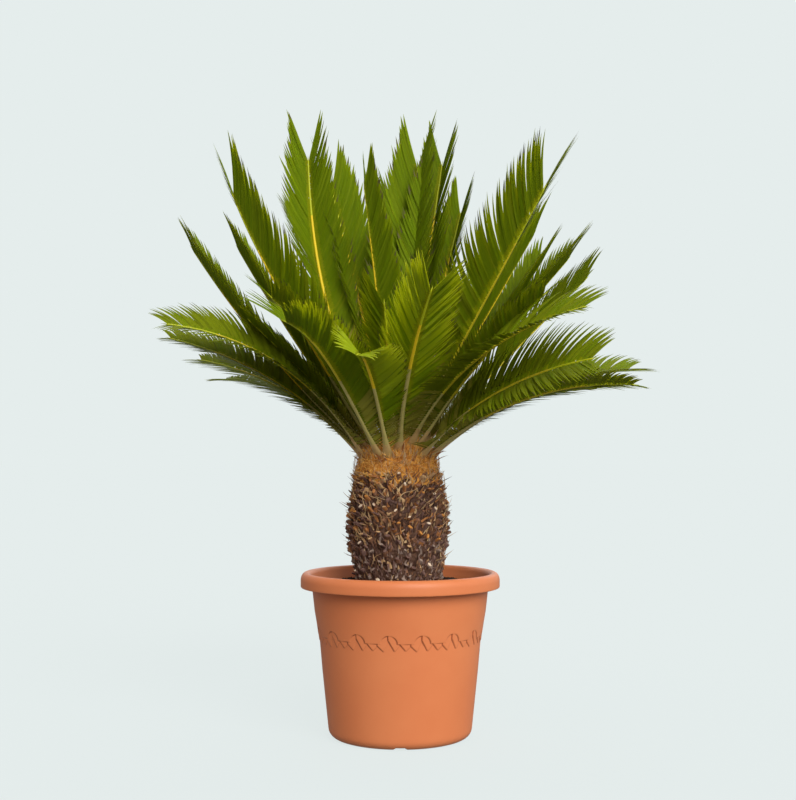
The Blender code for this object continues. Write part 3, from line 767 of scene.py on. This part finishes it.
def wool(count, chance):
    """Short bent slivers over the neck and the dome of the crown. The way of each is a sum
    of the way out of the surface, a random one, and a part of the way up."""
    on_dome = chance.random(count) < ON_DOME
    radius = SHOULDER_RADIUS * np.sqrt(chance.random(count)) * 0.98
    height = chance.triangular(0.5, 0.551, 0.566, count)
    angle = chance.uniform(0, 2 * pi, count)
    out = turned(1, angle, 0)
    root = turned(where(on_dome, radius, interp(height, *TRUNK) - 0.011), angle,
                  where(on_dome, dome_height(radius) - DOME_DEPTH, height))
    root[:, 0] += CROWN_X
    normal = where(on_dome[:, None], out * 0.3 + (0, 0, 1), out + (0, 0, 0.25))
    way = unit(unit(normal) * 0.8 + chance.normal(0, 0.55, (count, 3)) + (0, 0, 0.45))
    across = unit(cross(way, chance.normal(size=(count, 3))))
    over = cross(across, way)
    length = chance.uniform(0.006, 0.015, count)[:, None]
    paths = stack([root, root + way * length * 0.55 + over * length * 0.12], 1)
    widths = repeat(chance.uniform(0.0007, 0.0015, (count, 1)), 2, 1)
    tints = (chance.random((count, 1)) < DARK_WOOL).astype(int)
    return sweep(paths, across[:, None], over[:, None], widths, widths, ring(3),
                 root + way * length - over * length * 0.1, tints)


place("crown_wool", "trunk_fibre", WOOL_TINTS, *wool(WOOL, chance))

# %% Dead curly strands
STRANDS, STRAND_SECTIONS = 240, 8


def strands(count, chance):
    """Thin strands that curl on the trunk. At the share s of its length, a path has gone
    that far along a slanted way, swings aside as a sine of s, and stands off the bark
    by a part of s (1 - s)."""
    height = where(chance.random(count) < 0.5, chance.uniform(0.52, 0.571, count),
                   chance.uniform(0.336, 0.571, count))
    root, out, around = on_trunk(height, chance.uniform(0, 2 * pi, count), 0.008)
    length = chance.uniform(0.018, 0.05, count)[:, None, None]
    share = linspace(0, 1, STRAND_SECTIONS)[None, :, None]
    slant = radians(chance.uniform(-75, 75, count))[:, None]
    along = around * sin(slant) + UP * cos(slant)
    aside = cross(out, along)
    curl = chance.normal(0, 0.22, (count, 1, 1))
    swing = chance.uniform(2, 7, (count, 1, 1))
    paths = (root[:, None] + along[:, None] * length * share
             + aside[:, None] * length * curl * sin(swing * share)
             + out[:, None] * (0.003 + length * 0.22 * share * (1 - share)))
    widths = chance.uniform(0.0008, 0.0016, (count, 1)) * linspace(1, 0.5, STRAND_SECTIONS)
    tints = chance.choice([TAN, STRAW, STRAW, RUST], (count, 1))
    return sweep(paths, out[:, None], aside[:, None], widths, widths, ring(4),
                 paths[:, -1] + along * 0.001, tints)


curls = strands(STRANDS, chance)
place("trunk_strands", "trunk_fibre", TRUNK_TINTS, *join([crown_scales, curls]))

# %% [markdown]
# ## The fronds
# A frond is a tapering rib with two rows of narrow leaflets that rise from it like
# the letter V. Each frond is one row of a table: where its foot stands on the crown,
# how steeply it rises, how much it droops, and how long it is. The CAD solids use
# the same table and the same rule, with about a third as many leaflets.

# %% The table of the fronds
# seat is the distance of the foot from the crown's middle, in centimetres. turn is
# the compass direction, 0 along +X and 90 along +Y. rise is the slope at the foot,
# and droop is what the slope loses by the tip. length is the rib's, and leaflet the
# longest leaflet's, in centimetres. roll turns the frond about its rib past the
# stalk, swing is how far it turns on its way, and bow is the pace of the droop.
Frond = namedtuple("Frond", "side name seat turn rise droop length leaflet roll swing bow",
                   defaults=(0, 0, 1))
CROWN = {
    "left": (
        (6, 204, 57, -10, 54.5, 15.5, -4, 0, 4), (6, 164, 51, -8, 49.5, 12, -10),
        (7, 180, 42, -15, 52.5, 12.5, 2), (8, 200, 61, 56, 47, 14, 25),
        (8, 184, 50, 36, 44, 11, 20), (8, 160, 47, 36, 42, 11, 15),
        (8, 140, 42, 41, 47, 10, 10), (6, 222, 58, 22, 37, 11, 10),
        (6.5, 192, 52, 10, 33, 10, 10)),
    "front": (
        (8, 240, 46, 36, 39, 13, 12, 0, 3), (8, 256, 50, 60, 36, 11, 20, 8, 2),
        (7, 273, 43, 4, 41, 12, 15, 14), (4.5, 262, 66, 6, 28, 11)),
    "right": (
        (4, 315, 52, -2, 55.5, 18.5, -14), (6, 300, 48, 37, 49, 15, -25, 28),
        (8, 314, 41, 32, 41, 16, -38, 16), (8, 335, 40, 44, 43, 11, 12),
        (8, 2, 42, 36, 42.5, 18, -12), (6, 14, 46, 2, 48.5, 14, 18),
        (4.4, 16, 50, 2, 49.5, 15, 5), (6, 28, 53.5, 0, 48, 14, 10),
        (4, 356, 60, 0, 47, 12, 0, 14), (6, 324, 54, 18, 39, 11, -10)),
    "top": (
        (2.2, 88, 74, -2, 59, 15.5, 0, -30), (4, 168, 62, -18, 62, 14, 20, -64),
        (2.2, 127, 68, 0, 57, 15), (2.2, 57, 75, 0, 59, 13.5), (4, 51, 71, 0, 50, 12, 0, -6),
        (1.1, 200, 83, 0, 49, 11)),
    "back": (
        (8, 60, 38, 34, 46, 13), (8, 90, 40, 36, 47, 13), (8, 118, 36, 32, 45, 13),
        (6, 70, 52, 10, 53, 13), (6, 105, 52, 10, 54, 13), (4, 130, 60, 4, 55, 13),
        (4, 92, 66, 2, 57, 13), (8, 30, 36, 34, 45, 13)),
}
FRONDS = {side: [Frond(side, f"{side}_{number}", *row) for number, row in enumerate(rows, 1)]
          for side, rows in CROWN.items()}
print("fronds:", {side: len(fronds) for side, fronds in FRONDS.items()})

# %% The rule of a rib
YOUNG_FROM, YOUNG_AT, FRONT_YOUTH = 38, 64, 0.75
RIB_SAMPLES = 200
PETIOLE_END = 0.16


def youth(frond):
    """0 for a frond whose mean slope is low, 1 for an upright one. The front ones are young."""
    if frond.side == "front":
        return FRONT_YOUTH
    slope = frond.rise - frond.droop / 2
    return float(clip((slope - YOUNG_FROM) / (YOUNG_AT - YOUNG_FROM), 0, 1))


def rib_at(frond, t):
    """Point, forward, up and side of a frond's rib at shares t of its length.

    The slope is rise minus droop times t to the power bow, and the heading is turn
    plus swing times t. The rib's points are the sum of small steps that way.
    """
    fine = linspace(0, 1, RIB_SAMPLES + 1)
    slope = radians(frond.rise - frond.droop * fine ** frond.bow)
    turn = radians(frond.turn + frond.swing * fine)
    forward = turned(cos(slope), turn, sin(slope))
    up = turned(-sin(slope), turn, cos(slope))
    steps = (forward[1:] + forward[:-1]) / 2 * (frond.length * 0.01 / RIB_SAMPLES)
    seat = frond.seat * 0.01
    foot = turned(seat, turn[0], dome_height(seat)) + (CROWN_X, 0, 0)
    points = foot + np.vstack([np.zeros(3), np.cumsum(steps, axis=0)])

    def at(values):
        return stack([interp(t, fine, values[:, axis]) for axis in range(3)], -1)

    point = at(points) + forward[0] * (np.minimum(t, 0) * frond.length * 0.01)[..., None]
    forward, up = unit(at(forward)), unit(at(up))
    roll = radians(frond.roll) * ease(0, PETIOLE_END, t)[..., None]
    up = up * cos(roll) - cross(forward, up) * sin(roll)
    return point, forward, up, cross(forward, up)


def rib_size(t):
    """Width and height of the rib at shares of its length."""
    return (interp(t, (0, PETIOLE_END, 1), (0.017, 0.009, 0.0036)),
            interp(t, (0, PETIOLE_END, 1), (0.009, 0.0065, 0.003)))


# %% [markdown]
# The rib is tan and olive at the stalk, amber or gold along the middle, and green at
# its tip. Such bands have a place, so they are plain colours dealt out face by face
# along the rib.

# %% Ribs of the fronds
RIB_TINTS = [finish(name, colour, patch, scale, grain=500, roughness=rough, specular=0.3)
             for name, colour, patch, scale, rough in (
                 ("stalk tan", (0.62, 0.43, 0.17), (0.48, 0.32, 0.11), 70, 0.5),
                 ("stalk olive", (0.56, 0.47, 0.15), (0.46, 0.4, 0.11), 50, 0.45),
                 ("rib gold", (0.9, 0.62, 0.015), (0.82, 0.58, 0.015), 30, 0.45),
                 ("rib amber", (0.66, 0.52, 0.02), (0.58, 0.48, 0.02), 30, 0.45),
                 ("rib lime", (0.5, 0.52, 0.01), (0.42, 0.46, 0.01), 30, 0.45))]
STALK_TAN, STALK_OLIVE, GOLD, RIB_AMBER, LIME = range(5)
RIB_SECTIONS, RIB_TIP = 62, 0.018
TAN_TO, OLIVE_TO, FRONT_OLIVE_TO, LIME_FROM = 0.05, 0.26, 0.45, 0.8


def rib_tube(frond, chance):
    """The rib: an oval outline along its line, flared by 0.35 where it clasps the crown."""
    t = linspace(-0.05, 1.0, RIB_SECTIONS)
    point, forward, up, side = rib_at(frond, t)
    widths, heights = rib_size(t)
    flare = 1 + 0.35 * np.exp(-((t + 0.02) / 0.05) ** 2)
    widths, heights = widths * flare, heights * (0.6 + 0.4 * flare)
    paths = point + up * (heights / 2)[:, None]
    middle = RIB_AMBER if chance.random() < 1 - youth(frond) else GOLD
    olive_to = (FRONT_OLIVE_TO if frond.side == "front" else OLIVE_TO) + chance.uniform(0, 0.08)
    bands = np.digitize(t, [TAN_TO + chance.uniform(0, 0.03), olive_to, LIME_FROM])
    tints = array([STALK_TAN, STALK_OLIVE, middle, LIME])[bands]
    tip = paths[-1] + forward[-1] * RIB_TIP
    return sweep(paths[None], side[None], up[None], widths[None], heights[None], ring(8),
                 tip[None], tints[None])


chance = np.random.default_rng(51)
ribs = join([rib_tube(frond, chance) for fronds in FRONDS.values() for frond in fronds])
place("frond_ribs", "frond_green", RIB_TINTS, *ribs, crease=60)

# %% [markdown]
# A leaflet is stiff and narrow, with a raised midrib and a needle tip. Its section
# here is a low roof of four points, and six sections and a tip follow its bend. The
# greens are dealt out leaflet by leaflet: old fronds are deep green and young ones
# bright. The lowest leaflets are olive, most are paler at their root, and some have
# a brown tip.

# %% Greens
def leaf(name, colour, patch_colour, glow):
    """A finish for leaflets. glow is how far light that enters one spreads inside it."""
    material = finish(name, colour, patch_colour, 45, contrast=0.7, grain=180,
                      roughness=0.55, change=0.2, bump=0.12, specular=0.02)
    fill(material.node_tree.nodes["Principled BSDF"], Subsurface_Weight=glow,
         Subsurface_Radius=(1.0, 1.0, 0.1), Subsurface_Scale=0.004)
    return material


GREENS = [leaf("leaflet " + name, *look) for name, *look in (
    ("shade", (0.255, 0.24, 0.03), (0.205, 0.195, 0.024), 0.1),
    ("deep", (0.125, 0.155, 0.005), (0.105, 0.132, 0.004), 0.1),
    ("old", (0.165, 0.203, 0.006), (0.145, 0.18, 0.005), 0.1),
    ("green", (0.14, 0.195, 0.004), (0.124, 0.175, 0.004), 0.2),
    ("bright", (0.116, 0.175, 0.003), (0.128, 0.19, 0.003), 0.35),
    ("young", (0.138, 0.213, 0.003), (0.15, 0.228, 0.003), 0.5),
    # Painted light: a lighter green for the fronds whose upper side catches the light.
    ("painted_lit", (0.29, 0.37, 0.009), (0.25, 0.33, 0.008), 0.5),
    ("root", (0.2, 0.23, 0.005), (0.18, 0.21, 0.005), 0.3),
    ("tip", (0.11, 0.11, 0.03), (0.13, 0.115, 0.045), 0.0))]
SHADE, DEEP, OLD, GREEN, BRIGHT, YOUNG, PAINTED_LIT, ROOT, TIP = range(9)

# %% [markdown]
# On an old frond the rows lie flat and stand square to the rib, and on a young one
# they rise steeply and point ahead. Each age has a short table of angles along the
# rib, and the frond's youth mixes the two.

# %% Measures of the leaflets
LEAVES_FROM, LEAFLET_PITCH, LEAFLET_WIDTH = 0.045, 0.0056, 0.008
AHEAD_AT, OLD_AHEAD, YOUNG_AHEAD = (0.0, 0.3, 0.7, 1.0), (80, 70, 62, 48), (62, 40, 28, 19)
LIFT_AT, OLD_LIFT, YOUNG_LIFT = (0.0, 0.3, 1.0), (34, 17, 12), (42, 36, 30)
SHARE_AT_STALK, FULL_FROM, TIP_FROM, TIP_TO, END_FROM = 0.3, 0.5, 0.6, 1.05, 0.94
OLD_TIP_LOSS, YOUTH_TIP_GAIN, YOUNG_TIP_LOSS, END_LOSS = 0.6, 1.2, 0.15, 0.55
BLADE_AT = array([0.0, 0.1, 0.28, 0.48, 0.68, 0.85])
ROOF, ROOF_HEIGHT = array([(0.5, -0.5), (0.0, 0.5), (-0.5, -0.5), (0.0, -0.1)]), 0.14
TILT, FULL_WIDTH_LENGTH, FOOT_WIDTH = 9, 0.08, 0.45
# Where a leaflet is rooted, in widths and heights of the rib. Then, in its own lengths:
# its bend at the frond's tip and what the stalk's end adds, and how far it arches and
# sags, with more for the lowest leaflets and for old fronds.
ROOT_ASIDE, ROOT_UP, BEND, STALK_BEND = 0.36, 0.45, 0.1, 0.14
ARCH, SAG, LOW_SAG, OLD_SAG = 0.05, 0.05, 0.16, 0.05
# How loosely the leaflets stand, and the power that tapers them, on the top fronds
# and on the others.
BUNCH, TOP_LOOSE, LOOSE, TOP_TAPER, TAPER = 6, 1.0, 0.3, 4.0, 2.0


def leaflet_length(frond, t):
    """Length at a share of the rib: short at the stalk, full, then less at the tip."""
    tip_loss = max(OLD_TIP_LOSS - YOUTH_TIP_GAIN * youth(frond), YOUNG_TIP_LOSS)
    full = ease(PETIOLE_END / 2, FULL_FROM, t) * (1 - tip_loss * ease(TIP_FROM, TIP_TO, t))
    full = full * (1 - END_LOSS * (1 - youth(frond)) * ease(END_FROM, 1.0, t))
    return frond.leaflet * 0.01 * (SHARE_AT_STALK + (1 - SHARE_AT_STALK) * full)


def by_age(frond, t, at, old, young):
    """Values along the rib: those of old age and those of youth, mixed by the frond's youth."""
    return interp(t, at, old) * (1 - youth(frond)) + interp(t, at, young) * youth(frond)


def bunches(count, size, chance):
    """Slow random turns of both rows, so that neighbours keep together in small bunches."""
    at = arange(0, count + BUNCH, BUNCH)
    return concatenate([interp(arange(count), at, chance.normal(0, size, len(at)))
                        for row in range(2)])


# %% Tones of the leaflets
# The tone of an old frond's leaflets as a number in the list of greens, what youth
# adds, what the stalk's end loses, and how uneven the tones are.
OLD_TONE, YOUTH_TONE, STALK_LOSS, TONE_SPREAD = 2.2, 1.5, 1.2, 0.45
STALK_LOSS_TO = (0.25, 0.65)
OLIVE_LEAFLETS_TO, OLIVE_SPREAD, BROWN_TIPS = 0.27, 0.05, 0.3
# Painted light and shade: steps of tone added to fronds by how the light falls on them, lighter
# for the front ones whose bright upper side catches the light, and half a step darker for
# left_4.
PAINTED_LIGHT_STEPS = {"front_1": 1.0, "front_2": 3.0, "front_3": 2.5, "front_4": 1.0, "left_4": -0.5}


def leaflet_tints(frond, t, chance):
    """The green of each leaflet, and with it the tints of its sections."""
    # The last term paints light and shade onto chosen fronds.
    tone = OLD_TONE + YOUTH_TONE * youth(frond) + PAINTED_LIGHT_STEPS.get(frond.name, 0.0)
    tone = tone + chance.normal(0, TONE_SPREAD, len(t))
    tone = tone - STALK_LOSS * (1 - ease(*STALK_LOSS_TO, t))
    green = clip(np.round(tone), DEEP, PAINTED_LIT).astype(int)
    green = where(t < OLIVE_LEAFLETS_TO + chance.normal(0, OLIVE_SPREAD, len(t)), SHADE, green)
    tints = repeat(green[:, None], len(BLADE_AT), 1)
    tints[:, 0] = where(green >= GREEN, ROOT, green + 1)
    tints[:, -1] = where(chance.random(len(t)) < BROWN_TIPS, TIP, green)
    return tints


# %% The rule of the leaflets
def leaflets(frond, chance):
    """Both rows of leaflets of a frond, as one sweep.

    A leaflet's way is forward cos(ahead) plus outward sin(ahead), where outward leans
    up from the side by lift. Its path is root + L (way s - bend s (1 - s)), so that it
    leaves the rib more squarely and turns forward, and its own weight lowers the tip.
    """
    count = int(frond.length * 0.01 * (1 - LEAVES_FROM) / LEAFLET_PITCH)
    both = 2 * count
    t = linspace(LEAVES_FROM, 1.0, count)
    signs = repeat([[1.0], [-1.0]], count, 0)
    t = clip(concatenate([t, t + 0.5 / count]) + chance.normal(0, 0.0012, both), 0, 1)
    point, forward, up, side = rib_at(frond, t)
    loose, taper = (TOP_LOOSE, TOP_TAPER) if frond.side == "top" else (LOOSE, TAPER)
    ahead = by_age(frond, t, AHEAD_AT, OLD_AHEAD, YOUNG_AHEAD)
    lift = by_age(frond, t, LIFT_AT, OLD_LIFT, YOUNG_LIFT)
    ahead = ahead + bunches(count, 1.5 * loose, chance) + chance.normal(0, 0.7, both)
    lift = lift + bunches(count, 2.0 * loose, chance) + chance.normal(0, 1.2, both)
    ahead, lift = radians(ahead)[:, None], radians(lift)[:, None]
    outward = side * (signs * cos(lift)) + up * sin(lift)
    way = forward * cos(ahead) + outward * sin(ahead)
    roof = up * cos(lift) - side * (signs * sin(lift))
    length = (leaflet_length(frond, t) * chance.normal(1.0, 0.04, both))[:, None, None]
    rib_width, rib_height = (size[:, None] for size in rib_size(t))
    root = point + side * signs * rib_width * ROOT_ASIDE + up * rib_height * ROOT_UP
    bend = unit(forward - way * cos(ahead)) * (BEND + STALK_BEND * (1 - t[:, None]))
    weight = SAG + LOW_SAG * (1 - ease(0.1, 0.4, t)) + OLD_SAG * (1 - youth(frond))

    def along(s):
        s = np.asarray(s)[None, :, None]
        arch = roof[:, None] * ARCH * s * (1 - s)
        fall = UP * weight[:, None, None] * s ** 2
        path = way[:, None] * s - bend[:, None] * s * (1 - s) + arch - fall
        return root[:, None] + length * path

    tilt = radians(TILT + chance.normal(0, TILT, (both, 1)))
    across = unit(cross(way, roof)) * cos(tilt) + roof * (signs * sin(tilt))
    over = unit(cross(across, way))
    foot = FOOT_WIDTH + (1 - FOOT_WIDTH) * ease(0, 0.12, BLADE_AT)
    shape = foot * (1 - BLADE_AT ** taper) ** 0.9
    widths = LEAFLET_WIDTH * clip(length[:, 0] / FULL_WIDTH_LENGTH, 0.3, 1) ** 0.4 * shape
    widths = widths * chance.normal(1, 0.06, (both, 1))
    return sweep(along(BLADE_AT), across[:, None], over[:, None], widths, widths * ROOF_HEIGHT,
                 ROOF, along([1.0])[:, 0], leaflet_tints(frond, t, chance))


# %% Leaflets, one piece for each side of the crown
for seed, (side, fronds) in enumerate(FRONDS.items(), 61):
    chance = np.random.default_rng(seed)
    blades = join([leaflets(frond, chance) for frond in fronds])
    piece = place(f"leaflets_{side}", "frond_green", GREENS, *blades, crease=60)
    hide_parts(*[f"frond_{frond.name}" for frond in fronds])

# %% [markdown]
# ## Floor, light and camera
# The plant stands on a pale floor that runs into a pale sky without an edge: to the
# camera, the floor shines by itself nearly as bright as the sky. A broad lamp at the
# front right models the pot, a weak one widens its lit side, and one behind shows the
# back of the crown. The sky fills the shadows, and is dim and warm low on the left.

# %% How bright the floor is
PALE = array([0.784, 0.847, 0.839])
AMBIENT = 0.62
SHADE_COLOUR = (0.45, 0.16, 0.09)
LIGHT_LEAN, SHADE_FROM, SHADE_TO = (1.0, 0.0, 1.2), -1.0, 0.0
FLOOR_COLOUR, SHINE_ON_PLANT, FLOOR_REACH = 0.07, 0.22, 60
# Each lamp has a compass direction, a height above the horizon, a strength, and how
# widely it spreads, in degrees.
LAMPS = (("key", -66, 32, 2.5, 40), ("side", -20, 15, 0.35, 60), ("back", 80, 40, 0.7, 60))
floor_light = AMBIENT + sum(power * sin(radians(rise)) / pi for _, _, rise, power, _ in LAMPS)
shine_colour = PALE - FLOOR_COLOUR * floor_light
print("the floor is lit with", round(floor_light, 3), "and shines with", shine_colour.round(3))

# %% Sky
world = bpy.data.worlds.new("pale studio")
bpy.context.scene.world = world
world.use_nodes = True
tree = world.node_tree
seen = tree.nodes["Background"]
lit, direction, from_left, shading, tint, ray, choose = add(
    tree, "Background", "TexCoord", "VectorMath", "MapRange", "Mix", "LightPath", "MixShader")
from_left.operation, tint.data_type = "DOT_PRODUCT", "RGBA"
from_left.inputs[1].default_value = LIGHT_LEAN
fill(seen, Color=(*PALE, 1))
fill(lit, Strength=AMBIENT)
fill(shading, From_Min=SHADE_FROM, From_Max=SHADE_TO)
fill(tint, A=(*SHADE_COLOUR, 1), B=(1, 1, 1, 1))
wire(tree, (direction, "Generated", from_left, 0), (from_left, "Value", shading, "Value"),
     (shading, 0, tint, "Factor"), (tint, "Result", lit, "Color"),
     (ray, "Is Camera Ray", choose, 0), (lit, 0, choose, 1), (seen, 0, choose, 2),
     (choose, 0, tree.nodes["World Output"], "Surface"))
print("sky:", len(tree.nodes), "nodes")

# %% Floor
pale_floor = bpy.data.materials.new("pale floor")
pale_floor.use_nodes = True
tree = pale_floor.node_tree
base = tree.nodes["Principled BSDF"]
shine, both, ray, power = add(tree, "Emission", "AddShader", "LightPath", "MapRange")
fill(base, Roughness=1.0, Specular_IOR_Level=0.0, Base_Color=(*[FLOOR_COLOUR] * 3, 1))
fill(shine, Color=(*shine_colour, 1))
fill(power, To_Min=SHINE_ON_PLANT)
wire(tree, (ray, "Is Camera Ray", power, "Value"), (power, 0, shine, "Strength"),
     (base, 0, both, 0), (shine, 0, both, 1),
     (both, 0, tree.nodes["Material Output"], "Surface"))

floor_mesh = bpy.data.meshes.new("floor")
far = FLOOR_REACH
floor_mesh.from_pydata([(-far, -far, 0), (far, -far, 0), (far, far, 0), (-far, far, 0)], [],
                       [(0, 1, 2, 3)])
floor_mesh.materials.append(pale_floor)
floor = put("floor", floor_mesh)
floor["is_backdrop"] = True
print("floor:", 2 * far, "m wide")

# %% Lamps and camera
for name, turn, rise, power, spread in LAMPS:
    light = bpy.data.lights.new(name, "SUN")
    light.energy, light.angle = power, radians(spread)
    turn, rise = radians(turn), radians(rise)
    source = Vector(turned(cos(rise), turn, sin(rise)))
    put(name, light).rotation_euler = source.to_track_quat("Z", "Y").to_euler()

# The photograph's frame is 796 by 800 pixels, and its longer side takes the sensor's
# width. The focal length is 1290 such pixels, and the horizon lies 54.6 pixels below
# the middle, so the lens is shifted and the camera stays level.
camera_data = bpy.data.cameras.new("camera")
camera_data.sensor_width = 36
camera_data.lens = 36 * 1290 / 800
camera_data.shift_y = 54.6 / 800
camera = put("camera", camera_data)
camera.location = (-0.0044, -2.6, 0.566)
camera.rotation_euler = (pi / 2, 0, 0)
bpy.context.scene.camera = camera
bpy.context.scene.view_settings.view_transform = "Standard"
print("lamps:", len(LAMPS), "and a lens of", round(camera_data.lens, 2), "mm")

# %% [markdown]
# ## Sizes
# The dressed plant has to keep the CAD model's size, so the last cell prints how far
# it reaches past the CAD box on each side.

# %% Finish
seen_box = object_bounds()
for axis, letter in enumerate("XYZ"):
    low = 1000 * (cad_box[0][axis] - seen_box[0][axis])
    high = 1000 * (seen_box[1][axis] - cad_box[1][axis])
    print(f"{letter}: stands {low:.1f} mm below and {high:.1f} mm above the CAD box")
